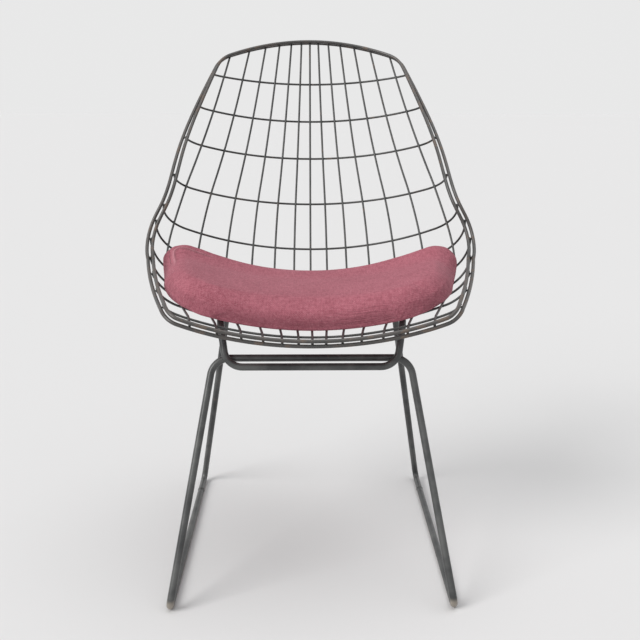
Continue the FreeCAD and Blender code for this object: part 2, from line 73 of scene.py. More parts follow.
# Base
FOOT_SPACING = 418.0
RUNNER_LENGTH = 463.0
FOOT_BEND = 13.0
CROSSBAR_WIDTH = 297.0
CROSSBAR_DROP = 58.5
CROSSBAR_SETBACK = 137.0
CROSSBAR_BEND = 30.0
LOWER_BAR_DROP = 14.5
LOWER_BAR_WIDTH = 256.0
LOWER_BAR_BEND = 28.0
RAIL_SPACING = 278.0
RAIL_FRONT_BEND = 30.0
RAIL_REAR_BEND = 35.0
REAR_LEG_LEAN = 158.0
RUNNER_JOINT = 60.0
ROD_STAND_OFF = 0.6  # the two bent rods lie this much further apart than their gauge

# Profile of the shell
FRONT_EDGE_INSET = 46.0
SEAT_HEIGHT = 407.0
SEAT_RECLINE = math.radians(90.0 + 4.0)
SEAT_LENGTH = 180.0
HEEL_RADIUS = 200.0
HEEL_TURN = math.radians(66.0)
HEEL_EASING = 200.0  # length over which the back bends into the heel
BACK_RADIUS = 1800.0
BACK_HEIGHT = 831.0
LIP_RADIUS = 60.0
LIP_LENGTH = 26.0
PROFILE_POINTS_COUNT = 8001
PROFILE_SPARE = 2.0  # length by which the profile's table goes on past the front edge

# Cross section of the shell
BACK_DISH = 300.0
SEAT_DISH = 560.0
CURL_RADIUS = 72.0
CURL_SHARE = 0.65
CURL_FROM = 180.0
TOP_FLATTENING = 0.45
DISH_BLEND_START = 270.0

# Outline of the shell, laid out flat
TOP_EDGE_RADIUS = 330.0
TOP_CORNER_RADIUS = 60.0
TOP_HALF_WIDTH = 145.0
UPPER_FLARE = 0.47
SIDE_RADIUS = 380.0
FRONT_HALF_WIDTH = 214.0
FRONT_TAPER = 0.385
FRONT_CORNER_RADIUS = 34.0
FRONT_EDGE_RADIUS = 2500.0

# Mesh
WIRES_PER_SIDE = 6
ROWS_PITCH = ((79.0, 1), (70.5, 2), (86.0, 2))
SEAT_ROWS = 6
LONG_SHARE = 0.82
LONG_TOP_SHARE = 0.12
LONG_EVEN = 0.61

# Cushion
CUSHION_FRONT_GAP = 9.0
CUSHION_LENGTH = 290.0
CUSHION_FRONT_HALF_WIDTH = 215.0
CUSHION_REAR_HALF_WIDTH = 284.0
CUSHION_SHIFT = -9.0  # the loose pad has slid a little to one side at its front
CUSHION_SKEW = 8.0
CUSHION_FRONT_CORNER = 102.0
CUSHION_REAR_CORNER = 68.0
CUSHION_THICKNESS = 37.0
CUSHION_END_THICKENING = 4.0
CUSHION_CROWN = 10.0
CUSHION_CLEARANCE = 0.6
CUSHION_ROUND_ABOVE = 27.0
CUSHION_ROUND_BELOW = 12.0
CUSHION_EASING_PASSES = 60

# Points on the pad: each pair is the share of cosine steps, which crowd at both ends, and of even ones
CUSHION_ROWS = 72
CUSHION_COLUMNS = 104
CROWDING_ALONG = (0.55, 0.45)
CROWDING_ACROSS = (0.62, 0.38)

# Marks of the cover: a tucked seam towards the rear of the right end, its tuck coloured darker as painted
# shade and its welt coloured lighter as a painted highlight, and pull wrinkles in front
SEAM_FROM_SIDE = 7.0
SEAM_FROM_REAR = 50.0
SEAM_TURN = 6.0
SEAM_FROM_REACH = -165.0
SEAM_FADE = 35.0
SEAM_FROM_SHARE = 0.45  # share of the length, from the front, where the seam begins to show
SEAM_FADE_SHARE = 0.15
FAR_FROM_SEAM = 40.0
WRINKLE_REACH = 95.0
WRINKLE_SPREAD = 55.0
WRINKLE_DEPTH = 15.0

# Sides of the round tubes
RIM_SIDES = 20
WIRE_SIDES = 14
ROD_SIDES = 28

# Weld beads, as half sizes along, across and up, and weld rings
CROSSING_BEAD = (2.3, 2.3, 0.9)
RIM_BEAD = (2.4, 2.4, 0.8)
RIM_BEAD_INSET = 0.2
RING_LEAST = 0.86  # share of a ring's thickness between its ripples
RING_RIPPLE = 0.14
RAIL_ROWS = (7, 8)  # places in ROWS of the cross wires that the rails carry
RAIL_RING_SINK = 0.4
BUTT_RIDGE = 0.7
BUTT_RIPPLES = 26
FLOOR_GAP = 0.05


def smooth_step(share):
    """3 t^2 - 2 t^3 with t held between 0 and 1."""
    share = np.clip(share, 0.0, 1.0)
    return share * share * (3.0 - 2.0 * share)


def unit(vectors):
    """Vectors along the last axis, divided by their lengths."""
    vectors = np.asarray(vectors, float)
    return vectors / np.linalg.norm(vectors, axis=-1, keepdims=True)


def forward(recline):
    """(0, -sin r, -cos r), along the profile towards the front at a recline r from upright."""
    recline = np.asarray(recline, float)
    return np.stack([0.0 * recline, -np.sin(recline), -np.cos(recline)], -1)


def seat_side(recline):
    """(0, -cos r, sin r), square to the profile, on the side that the pad lies on."""
    recline = np.asarray(recline, float)
    return np.stack([0.0 * recline, -np.cos(recline), np.sin(recline)], -1)


HEEL_RECLINE = SEAT_RECLINE - HEEL_TURN
LIP_START = np.array([0.0, FRONT_EDGE_INSET, SEAT_HEIGHT])
SEAT_END = LIP_START - forward(SEAT_RECLINE) * SEAT_LENGTH
HEEL_CENTRE = SEAT_END + seat_side(SEAT_RECLINE) * HEEL_RADIUS
BACK_CENTRE = HEEL_CENTRE + seat_side(HEEL_RECLINE) * (BACK_RADIUS - HEEL_RADIUS)
TOP_RECLINE = math.asin((BACK_CENTRE[2] - BACK_HEIGHT) / BACK_RADIUS)
BACK_LENGTH = BACK_RADIUS * (HEEL_RECLINE - TOP_RECLINE)
SEAT_STATION = BACK_LENGTH + HEEL_RADIUS * HEEL_TURN
LIP_STATION = SEAT_STATION + SEAT_LENGTH
FRONT_STATION = LIP_STATION + LIP_LENGTH


def profile_lines():
    """Stations along the middle line, with its points and reclines.

    The recline's growth per length is 1 / radius: of the back, then, by a smooth step over HEEL_EASING, of
    the heel, then 0 along the seat and minus that of the lip. Both the recline and the point are added up
    from the seat's rear end, the point as the sum of forward(recline) over the length. The easing would
    move the back by a few millimetres, so as much is taken off again, by the same step.
    """
    stations = np.linspace(0, FRONT_STATION + PROFILE_SPARE, PROFILE_POINTS_COUNT)
    eased = smooth_step((stations - BACK_LENGTH) / HEEL_EASING + 0.5)
    bend = 1 / BACK_RADIUS + (1 / HEEL_RADIUS - 1 / BACK_RADIUS) * eased
    bend = np.select([stations <= SEAT_STATION, stations <= LIP_STATION], [bend, 0 * bend], -1 / LIP_RADIUS)
    recline = added_up(stations, bend)
    recline += SEAT_RECLINE - np.interp(SEAT_STATION, stations, recline)
    along = forward(recline)
    points = np.stack([added_up(stations, along[:, axis]) for axis in range(3)], -1)
    points += SEAT_END - [np.interp(SEAT_STATION, stations, points[:, axis]) for axis in range(3)]
    top = BACK_CENTRE - seat_side(TOP_RECLINE) * BACK_RADIUS
    return stations, points + (1 - eased)[:, None] * (top - points[0]), recline


def added_up(stations, values):
    """Sum of the values over the stations from the first, by the trapezoid rule."""
    steps = (values[1:] + values[:-1]) / 2 * np.diff(stations)
    return np.concatenate([[0.0], np.cumsum(steps)])


PROFILE_STATIONS, PROFILE_POINTS, PROFILE_RECLINES = profile_lines()


def profile(station):
    """Point and recline of the middle line at a length from its top."""
    point = [np.interp(station, PROFILE_STATIONS, PROFILE_POINTS[:, axis]) for axis in range(3)]
    return np.stack(point, -1), np.interp(station, PROFILE_STATIONS, PROFILE_RECLINES)


def flank_arc():
    """Centre of the side arc that is tangent to both straight flanks, and the stations of its two ends."""
    upper = math.atan(UPPER_FLARE)
    lower = math.atan(FRONT_TAPER)
    rise = FRONT_HALF_WIDTH + FRONT_TAPER * LIP_STATION - TOP_HALF_WIDTH
    corner_station = rise / (UPPER_FLARE + FRONT_TAPER)
    corner_reach = TOP_HALF_WIDTH + UPPER_FLARE * corner_station
    run = SIDE_RADIUS * math.tan((upper + lower) / 2)
    start = corner_station - run * math.cos(upper)
    centre_reach = corner_reach - run * math.sin(upper) - SIDE_RADIUS * math.cos(upper)
    end = corner_station + run * math.cos(lower)
    return start + SIDE_RADIUS * math.sin(upper), centre_reach, start, end


SIDE_STATION, SIDE_REACH, SIDE_START, SIDE_END = flank_arc()
ROWS = np.cumsum([pitch for pitch, count in ROWS_PITCH for _ in range(count)])
ROWS = np.append(ROWS, ROWS[-1] + (LIP_STATION - ROWS[-1]) * np.arange(1, SEAT_ROWS + 1) / SEAT_ROWS)
FLAT_END = ROWS[1]


def flank(station):
    """Half width of the flat outline: a straight flank, the side arc and the second straight flank."""
    s = np.asarray(station, float)
    arc = SIDE_REACH + np.sqrt(np.maximum(SIDE_RADIUS**2 - (s - SIDE_STATION) ** 2, 0.0))
    lower = FRONT_HALF_WIDTH - FRONT_TAPER * (s - LIP_STATION)
    return np.select([s < SIDE_START, s > SIDE_END], [TOP_HALF_WIDTH + UPPER_FLARE * s, lower], arc)


def surface(station, reach, lift=0.0):
    """Point of the shell at a station, a reach across it and a lift above the middle of the mesh.

    Across the profile the section is an arc of the dish radius, then one of the curl radius. An arc of
    radius R from slope a to slope b runs R (sin b - sin a) outwards and R (cos a - cos b) up, and the lift
    adds (-sin b, cos b) of itself at the end slope b.
    """
    values = [np.asarray(value, float) for value in (station, reach, lift)]
    station, reach, lift = np.broadcast_arrays(*values)
    middle, recline = profile(station)
    seat = smooth_step((station - DISH_BLEND_START) / (SEAT_STATION - DISH_BLEND_START))
    bend = (1 - seat) / BACK_DISH + seat / SEAT_DISH
    bend = bend * (1 - TOP_FLATTENING * np.maximum(0.0, 1 - station / FLAT_END) ** 2)
    width = flank(station)
    start = np.minimum(np.abs(reach), width - CURL_SHARE * np.maximum(0.0, width - CURL_FROM))
    angle = start * bend
    slope = angle + (np.abs(reach) - start) / CURL_RADIUS
    out = np.sin(angle) / bend + CURL_RADIUS * (np.sin(slope) - np.sin(angle)) - lift * np.sin(slope)
    rise = (1 - np.cos(angle)) / bend + CURL_RADIUS * (np.cos(angle) - np.cos(slope)) + lift * np.cos(slope)
    across = np.stack([np.copysign(out, reach), 0 * out, 0 * out], -1)
    return middle + across + seat_side(recline) * rise[..., None]


def rounded_corner(edge_centre, edge_radius, corner_radius, reach_at_zero, slope, end):
    """Centre of a corner arc tangent to an end arc and to the flank reach = reach_at_zero + slope * s.

    It lies on the flank moved in by the corner's radius, at edge_radius - corner_radius from the end arc's
    centre, which gives a quadratic equation for its station.
    """
    moved_in = reach_at_zero - corner_radius * math.hypot(1, slope)
    square = 1 + slope**2
    half = slope * moved_in - edge_centre
    rest = edge_centre**2 + moved_in**2 - (edge_radius - corner_radius) ** 2
    station = (-half + end * math.sqrt(half**2 - square * rest)) / square
    return station, moved_in + slope * station


TOP_CORNER = rounded_corner(
    TOP_EDGE_RADIUS, TOP_EDGE_RADIUS, TOP_CORNER_RADIUS, TOP_HALF_WIDTH, UPPER_FLARE, -1
)
FRONT_CENTRE = FRONT_STATION - FRONT_EDGE_RADIUS
FRONT_REACH = FRONT_HALF_WIDTH + FRONT_TAPER * LIP_STATION
FRONT_CORNER = rounded_corner(
    FRONT_CENTRE, FRONT_EDGE_RADIUS, FRONT_CORNER_RADIUS, FRONT_REACH, -FRONT_TAPER, 1
)
TOP_ANGLE = math.atan2(TOP_CORNER[1], TOP_EDGE_RADIUS - TOP_CORNER[0])
TOP_TURN = math.pi / 2 - math.atan(UPPER_FLARE)
FRONT_ANGLE = math.atan2(FRONT_CORNER[1], FRONT_CORNER[0] - FRONT_CENTRE)
FRONT_TURN = math.pi / 2 - math.atan(FRONT_TAPER)


def half_outline():
    """Stations and reaches of half the outline, from the middle of the top to the middle of the front.

    Each arc is centre -+ radius cos a along and radius sin a across, with the angle a counted from the end
    that the arc closes. Between the corners the outline is the flank.
    """
    top = np.linspace(0, TOP_ANGLE, 24, endpoint=False)
    top_bend = np.linspace(TOP_ANGLE, TOP_TURN, 20, endpoint=False)
    flank_from = TOP_CORNER[0] - TOP_CORNER_RADIUS * math.cos(TOP_TURN)
    flank_to = FRONT_CORNER[0] + FRONT_CORNER_RADIUS * math.cos(FRONT_TURN)
    side = np.linspace(flank_from, flank_to, 160, endpoint=False)
    front_bend = np.linspace(FRONT_TURN, FRONT_ANGLE, 18, endpoint=False)
    front = np.linspace(FRONT_ANGLE, 0, 30)
    stations = [
        TOP_EDGE_RADIUS * (1 - np.cos(top)),
        TOP_CORNER[0] - TOP_CORNER_RADIUS * np.cos(top_bend),
        side,
        FRONT_CORNER[0] + FRONT_CORNER_RADIUS * np.cos(front_bend),
        FRONT_CENTRE + FRONT_EDGE_RADIUS * np.cos(front),
    ]
    reaches = [
        TOP_EDGE_RADIUS * np.sin(top),
        TOP_CORNER[1] + TOP_CORNER_RADIUS * np.sin(top_bend),
        flank(side),
        FRONT_CORNER[1] + FRONT_CORNER_RADIUS * np.sin(front_bend),
        FRONT_EDGE_RADIUS * np.sin(front),
    ]
    return np.concatenate(stations), np.concatenate(reaches)


def top_edge(reach):
    """Station of the top edge: on its wide arc, or on the corner arc past the arc's end."""
    on_arc = TOP_EDGE_RADIUS - np.sqrt(TOP_EDGE_RADIUS**2 - reach**2)
    inside = np.maximum(TOP_CORNER_RADIUS**2 - (reach - TOP_CORNER[1]) ** 2, 0)
    on_corner = TOP_CORNER[0] - np.sqrt(inside)
    return np.where(reach <= TOP_EDGE_RADIUS * math.sin(TOP_ANGLE), on_arc, on_corner)


def front_edge(reach):
    """Station of the front edge: on its wide arc, or on the corner arc past the arc's end."""
    on_arc = FRONT_CENTRE + np.sqrt(FRONT_EDGE_RADIUS**2 - reach**2)
    inside = np.maximum(FRONT_CORNER_RADIUS**2 - (reach - FRONT_CORNER[1]) ** 2, 0)
    on_corner = FRONT_CORNER[0] + np.sqrt(inside)
    return np.where(reach <= FRONT_EDGE_RADIUS * math.sin(FRONT_ANGLE), on_arc, on_corner)


def side_edge(station):
    """Reach of the side: the flank, or the corner arc where one of the two rounded corners begins."""
    if station < TOP_CORNER[0] - TOP_CORNER_RADIUS * math.cos(TOP_TURN):
        return TOP_CORNER[1] + math.sqrt(TOP_CORNER_RADIUS**2 - (station - TOP_CORNER[0]) ** 2)
    if station > FRONT_CORNER[0] + FRONT_CORNER_RADIUS * math.cos(FRONT_TURN):
        return FRONT_CORNER[1] + math.sqrt(FRONT_CORNER_RADIUS**2 - (station - FRONT_CORNER[0]) ** 2)
    return float(flank(station))


def long_reach(station, number):
    """Reach of a long wire: a share of the flank, e u + (1 - e) u^2 with u the wire's number over six."""
    part = number / WIRES_PER_SIDE
    share = LONG_EVEN * part + (1 - LONG_EVEN) * part**2
    top = np.maximum(0.0, 1 - np.asarray(station, float) / SIDE_START) ** 2
    return share * flank(station) * (LONG_SHARE + LONG_TOP_SHARE * top)


def long_wire_ends(number):
    """Stations where a long wire meets the outline, found by stepping between its reach and the edge."""
    top, front = 0.0, FRONT_STATION
    for _ in range(30):
        top = float(top_edge(long_reach(top, number)))
        front = float(front_edge(long_reach(front, number)))
    return top, front


MESH_LIFT = MESH - WELD_SINK
RIM_LIFT = MESH + RIM - WELD_SINK


def long_wire_path(number, side):
    """Surface points along a long wire. Its lift falls as 1 - u^2 to 0 between its last row and its end."""
    top, front = long_wire_ends(number)
    stations = np.linspace(top, front, 260)
    to_top = (ROWS[0] - stations) / (ROWS[0] - top)
    to_front = (stations - ROWS[-1]) / (front - ROWS[-1])
    lift = MESH_LIFT * (1 - np.maximum(np.maximum(to_top, to_front), 0.0) ** 2)
    return surface(stations, side * long_reach(stations, number), lift)


def cross_wire_path(station):
    """Surface points across a row. The lift rises as u^2 to 0 between the last long wire and each tip."""
    end = side_edge(station)
    last = float(long_reach(station, WIRES_PER_SIDE))
    reach = np.linspace(-end, end, 241)
    lift = -MESH_LIFT * (1 - np.maximum((np.abs(reach) - last) / (end - last), 0.0) ** 2)
    return surface(station, reach, lift)


def rim_path(lift):
    """Closed loop of surface points round the outline, half of it mirrored."""
    stations, reaches = half_outline()
    half = surface(stations, reaches, lift)
    return np.concatenate([half, (half * [-1, 1, 1])[-2:0:-1]])


def bent_path(corners, radii, arc_steps=14, run_steps=24):
    """Straight runs between corners, joined by arcs that are tangent to both runs.

    A bend of radius R that turns by an angle b starts R tan(b/2) before its corner. At a turn of w from its
    start, the point is start + R (sin w along + (1 - cos w) inwards).
    """
    corners = np.asarray(corners, float)
    runs = unit(np.diff(corners, axis=0))
    points = []
    start = corners[0]
    for corner, arriving, departing, radius in zip(corners[1:-1], runs[:-1], runs[1:], radii):
        turn = math.acos(float(arriving @ departing))
        bend_start = corner - arriving * radius * math.tan(turn / 2)
        inwards = unit(departing - arriving * math.cos(turn))
        angle = np.linspace(0, turn, arc_steps)[:, None]
        points.append(start + (bend_start - start) * np.linspace(0, 1, run_steps, endpoint=False)[:, None])
        points.append(bend_start + radius * (np.sin(angle) * arriving + (1 - np.cos(angle)) * inwards))
        start = points[-1][-1]
        points[-1] = points[-1][:-1]
    points.append(start + (corners[-1] - start) * np.linspace(0, 1, run_steps)[:, None])
    return np.concatenate(points)


CROSSBAR_HEIGHT = SEAT_HEIGHT - CROSSBAR_DROP
LEG_SLOPE = unit([0.0, CROSSBAR_SETBACK, CROSSBAR_HEIGHT - ROD])
LEG_FRONT = np.array([0.0, -LEG_SLOPE[2], LEG_SLOPE[1]])
JOINT_DEPTH = RUNNER_LENGTH - RUNNER_JOINT
RAIL_DROP = 2 * MESH + ROD
RAIL_ANGLE = math.asin(RAIL_SPACING / 2 / (SEAT_DISH + RAIL_DROP))
RAIL_RISE = SEAT_DISH * (1 - math.cos(RAIL_ANGLE)) - RAIL_DROP * math.cos(RAIL_ANGLE)
RAIL_START = LIP_START + seat_side(SEAT_RECLINE) * RAIL_RISE


def rail_point(depth):
    """Point of the line between the rails: RAIL_START plus the seat's slope times the depth past it."""
    run = LIP_START - SEAT_END
    return RAIL_START + run * ((depth - RAIL_START[1]) / run[1])


def at_side(point, half_width):
    """The point moved to x = half_width."""
    return np.array([half_width, point[1], point[2]])


def mirrored_route(corners):
    """Corners of the left side, then their mirror images from the last to the first."""
    corners = np.array(corners)
    return np.concatenate([corners, (corners * [-1, 1, 1])[::-1]])


def front_leg_path():
    """Front rod: along both runners, up the front legs and across under the seat."""
    corners = [
        [FOOT_SPACING / 2, JOINT_DEPTH, ROD],
        [FOOT_SPACING / 2, 0.0, ROD],
        [CROSSBAR_WIDTH / 2, CROSSBAR_SETBACK, CROSSBAR_HEIGHT],
    ]
    return bent_path(mirrored_route(corners), [FOOT_BEND, CROSSBAR_BEND, CROSSBAR_BEND, FOOT_BEND])


def seat_leg_path():
    """Rear rod: up the rear legs, forward as two rails, down before the crossbar and across below it."""
    bar_front = np.array([0.0, CROSSBAR_SETBACK, CROSSBAR_HEIGHT]) + LEG_FRONT * (2 * ROD + ROD_STAND_OFF)
    lower_bar = bar_front - LEG_SLOPE * LOWER_BAR_DROP
    rail_slope = (rail_point(1.0) - rail_point(0.0))[2]
    leg_rise = LEG_SLOPE[2] / LEG_SLOPE[1]
    meeting = (rail_point(0.0)[2] - bar_front[2] + leg_rise * bar_front[1]) / (leg_rise - rail_slope)
    corners = [
        [FOOT_SPACING / 2, JOINT_DEPTH, ROD],
        [FOOT_SPACING / 2, RUNNER_LENGTH, ROD],
        at_side(rail_point(RUNNER_LENGTH - REAR_LEG_LEAN), RAIL_SPACING / 2),
        at_side(rail_point(meeting), RAIL_SPACING / 2),
        at_side(lower_bar, LOWER_BAR_WIDTH / 2),
    ]
    bends = [FOOT_BEND, RAIL_REAR_BEND, RAIL_FRONT_BEND, LOWER_BAR_BEND]
    return bent_path(mirrored_route(corners), bends + bends[::-1])


# Surfaces on grids


def tube_grid(path, radius, sides, reference, closed=False):
    """Round surface carried along a path.

    The tangent t is the difference of the neighbouring points, n is the part of the reference direction
    square to t, and b = t x n. Point (i, k) is path[i] + radius[i] (n cos a + b sin a), a = 2 pi k / sides.
    """
    path = np.asarray(path, float)
    if closed:
        tangent = unit(np.roll(path, -1, 0) - np.roll(path, 1, 0))
    else:
        tangent = unit(np.gradient(path, axis=0))
    reference = np.broadcast_to(np.asarray(reference, float), path.shape)
    normal = unit(reference - tangent * np.sum(tangent * reference, -1, keepdims=True))
    binormal = np.cross(tangent, normal)
    angle = 2 * np.pi * np.arange(sides) / sides
    radius = np.broadcast_to(np.asarray(radius, float), len(path))[:, None, None]
    ring = normal[:, None] * np.cos(angle)[:, None] + binormal[:, None] * np.sin(angle)[:, None]
    return path[:, None] + radius * ring


def grid_faces(rows, columns, closed_rows):
    """Quads of a grid whose columns wrap round, as vertex numbers row * columns + column."""
    last = rows if closed_rows else rows - 1
    row, column = np.meshgrid(np.arange(last), np.arange(columns), indexing="ij")
    after = (row + 1) % rows
    beside = (column + 1) % columns
    corners = [
        row * columns + column,
        row * columns + beside,
        after * columns + beside,
        after * columns + column,
    ]
    return np.stack(corners, -1).reshape(-1, 4)


def new_mesh(name, points, faces):
    """Object from points in millimetres, moved to the frame, and faces, shaded smooth."""
    mesh = bpy.data.meshes.new(name)
    placed = (points.reshape(-1, 3) + [0.0, HOME_Y, 0.0]) * MM
    mesh.from_pydata(placed.tolist(), [], faces)
    mesh.polygons.foreach_set("use_smooth", [len(face) <= 4 for face in faces])
    mesh.update()
    piece = bpy.data.objects.new(name, mesh)
    bpy.context.scene.collection.objects.link(piece)
    return piece


def tube_piece(name, path, radius, sides, reference, closed=False):
    """Tube along a path, with flat cut ends where it is open."""
    grid = tube_grid(path, radius, sides, reference, closed)
    faces = grid_faces(len(grid), sides, closed).tolist()
    if not closed:
        first = len(grid) * sides - sides
        faces += [list(range(sides))[::-1], list(range(first, first + sides))]
    return new_mesh(name, grid, faces)


def bead_pattern(rings=5, sides=8):
    """Unit ball: points (cos p cos a, cos p sin a, sin p) on rings between two poles, and its faces."""
    tilt = (np.arange(1, rings) / rings - 0.5) * np.pi
    angle = 2 * np.pi * np.arange(sides) / sides
    body = np.stack(
        [
            np.outer(np.cos(tilt), np.cos(angle)),
            np.outer(np.cos(tilt), np.sin(angle)),
            np.outer(np.sin(tilt), np.ones(sides)),
        ],
        -1,
    )
    points = np.concatenate([body.reshape(-1, 3), [[0, 0, -1], [0, 0, 1]]])
    quads = grid_faces(rings - 1, sides, False)
    low, high = len(points) - 2, len(points) - 1
    first, beside = np.arange(sides), (np.arange(sides) + 1) % sides
    last = (rings - 2) * sides
    bottom = np.stack([beside, first, first * 0 + low, first * 0 + low], -1)
    top = np.stack([last + first, last + beside, first * 0 + high, first * 0 + high], -1)
    return points, np.concatenate([quads, bottom, top])


def beads(name, centres, along, up, sizes):
    """Flattened balls at many places: centre + size x (along, up x along, up) times the unit ball."""
    pattern, faces = bead_pattern()
    along = unit(along)
    up = unit(up - along * np.sum(along * up, -1, keepdims=True))
    axes = np.stack([along, np.cross(up, along), up], -2) * np.asarray(sizes, float)[:, None]
    points = centres[:, None] + np.einsum("pk,nkc->npc", pattern, axes)
    numbers = faces[None] + (np.arange(len(centres)) * len(pattern))[:, None, None]
    quads = [list(dict.fromkeys(face)) for face in numbers.reshape(-1, 4).tolist()]
    return new_mesh(name, points, quads)


def rippled_ring(centre, axis, radius, thickness, ripples, steps=72, sides=10):
    """Weld ring: a tube on a circle, its thickness times least + ripple |sin(m a / 2)| with m ripples."""
    axis = unit(axis)
    first = unit(np.cross(axis, [0.36, 0.48, 0.8]))
    second = np.cross(axis, first)
    angle = 2 * np.pi * np.arange(steps) / steps
    path = centre + radius * (np.cos(angle)[:, None] * first + np.sin(angle)[:, None] * second)
    thick = thickness * (RING_LEAST + RING_RIPPLE * np.abs(np.sin(ripples * angle / 2)))
    return tube_grid(path, thick, sides, axis, closed=True)


def weld_rings(name, grids):
    """One piece out of closed ring grids that all have the same number of points."""
    rows, columns = grids[0].shape[:2]
    faces = grid_faces(rows, columns, True)
    numbers = faces[None] + (np.arange(len(grids)) * rows * columns)[:, None, None]
    return new_mesh(name, np.concatenate(grids), numbers.reshape(-1, 4).tolist())


# Materials


class Nodes:
    """Short forms for the nodes that the finishes are built from."""

    def __init__(self, name):
        self.material = bpy.data.materials.new(name)
        self.material.use_nodes = True
        self.tree = self.material.node_tree
        self.shader = self.tree.nodes["Principled BSDF"]

    def add(self, kind, inputs=None, **settings):
        node = self.tree.nodes.new("ShaderNode" + kind)
        for key, value in settings.items():
            setattr(node, key, value)
        for key, value in (inputs or {}).items():
            self.put(node.inputs[key], value)
        return node

    def put(self, socket, value):
        if isinstance(value, bpy.types.NodeSocket):
            self.tree.links.new(value, socket)
        else:
            socket.default_value = value

    def math(self, operation, first, second=0.0, third=0.0):
        return self.add("Math", {0: first, 1: second, 2: third}, operation=operation).outputs[0]

    def noise(self, place, scale, detail=3.0, roughness=0.5):
        inputs = {"Vector": place, "Scale": scale, "Detail": detail, "Roughness": roughness}
        return self.add("TexNoise", inputs).outputs["Fac"]

    def between(self, value, low, high):
        """0 below low, 1 above high and a smooth step between."""
        inputs = {"Value": value, "From Min": low, "From Max": high}
        return self.add("MapRange", inputs, interpolation_type="SMOOTHSTEP").outputs["Result"]

    def blend(self, share, first, second):
        node = self.add("Mix", {"Factor": share}, data_type="RGBA")
        self.put(node.inputs[6], first)
        self.put(node.inputs[7], second)
        return node.outputs[2]

    def mark(self, name):
        return self.add("Attribute", attribute_name=name).outputs["Fac"]

    def ridge(self, value, place, width):
        """exp(-((value - place) / width)^2)."""
        scaled = self.math("DIVIDE", self.math("SUBTRACT", value, place), width)
        return self.math("EXPONENT", self.math("MULTIPLY", self.math("MULTIPLY", scaled, scaled), -1.0))

    def bump(self, height, distance, strength, before=None):
        node = self.add("Bump", {"Height": height, "Distance": distance, "Strength": strength})
        if before is not None:
            self.put(node.inputs["Normal"], before)
        return node.outputs["Normal"]


DEEP_GREY = (0.024, 0.025, 0.025, 1.0)
WIRE_GREY = (0.055, 0.056, 0.055, 1.0)
ROD_DARK_GREY = (0.040, 0.042, 0.043, 1.0)
ROD_PALE_GREY = (0.102, 0.105, 0.103, 1.0)
RIM_GREY = (0.080, 0.072, 0.068, 1.0)
RUBBED_BROWN = (0.125, 0.092, 0.072, 1.0)
BARE_STEEL = (0.43, 0.38, 0.32, 1.0)


def lacquer(name, dark, pale, brown_from, foot_wear=False):
    """Dark lacquer on steel: cloudy from dark to pale, a little dusty, rubbed brown in spots.

    brown_from is the noise value above which the brown shows. foot_wear bares the steel where the rods
    stand on the floor and at the tips of the front feet.
    """
    n = Nodes(name)
    place = n.add("TexCoord").outputs["Object"]
    cloud = n.noise(place, 22.0, 4.0, 0.6)
    grain = n.noise(place, 420.0, 2.0, 0.5)
    colour = n.blend(n.between(cloud, 0.32, 0.68), dark, pale)
    worn = n.between(n.noise(place, 55.0, 6.0, 0.65), brown_from, brown_from + 0.09)
    colour = n.blend(n.math("MULTIPLY", worn, 0.75), colour, RUBBED_BROWN)
    rough = n.math("MULTIPLY_ADD", cloud, 0.16, 0.28)
    rough = n.math("MULTIPLY_ADD", worn, 0.18, rough)
    if foot_wear:
        split = n.add("SeparateXYZ", {"Vector": place})
        sole = n.math("SUBTRACT", 1.0, n.between(split.outputs["Z"], 0.001, 0.006))
        tip = n.math("SUBTRACT", 1.0, n.between(split.outputs["Y"], -0.274, -0.252))
        low = n.math("MAXIMUM", sole, tip)
        low = n.math("MULTIPLY", low, n.math("SUBTRACT", 1.0, n.between(split.outputs["Z"], 0.012, 0.040)))
        patchy = n.between(n.math("ADD", low, n.math("MULTIPLY_ADD", worn, 0.5, -0.25)), 0.40, 0.90)
        colour = n.blend(n.math("MULTIPLY", patchy, 0.85), colour, BARE_STEEL)
        n.put(n.shader.inputs["Metallic"], n.math("MULTIPLY_ADD", patchy, 0.25, 0.15))
    else:
        n.shader.inputs["Metallic"].default_value = 0.15
    n.put(n.shader.inputs["Base Color"], colour)
    n.put(n.shader.inputs["Roughness"], rough)
    skin = n.bump(grain, 0.0003, 0.25)
    n.put(n.shader.inputs["Normal"], n.bump(worn, 0.0002, 0.5, skin))
    return n.material


WOOL_DEEP = (0.265, 0.070, 0.096, 1.0)
WOOL_MIDDLE = (0.425, 0.137, 0.177, 1.0)
WOOL_LIGHT = (0.555, 0.265, 0.300, 1.0)
THREAD_PITCH = 1.7  # millimetres from thread to thread


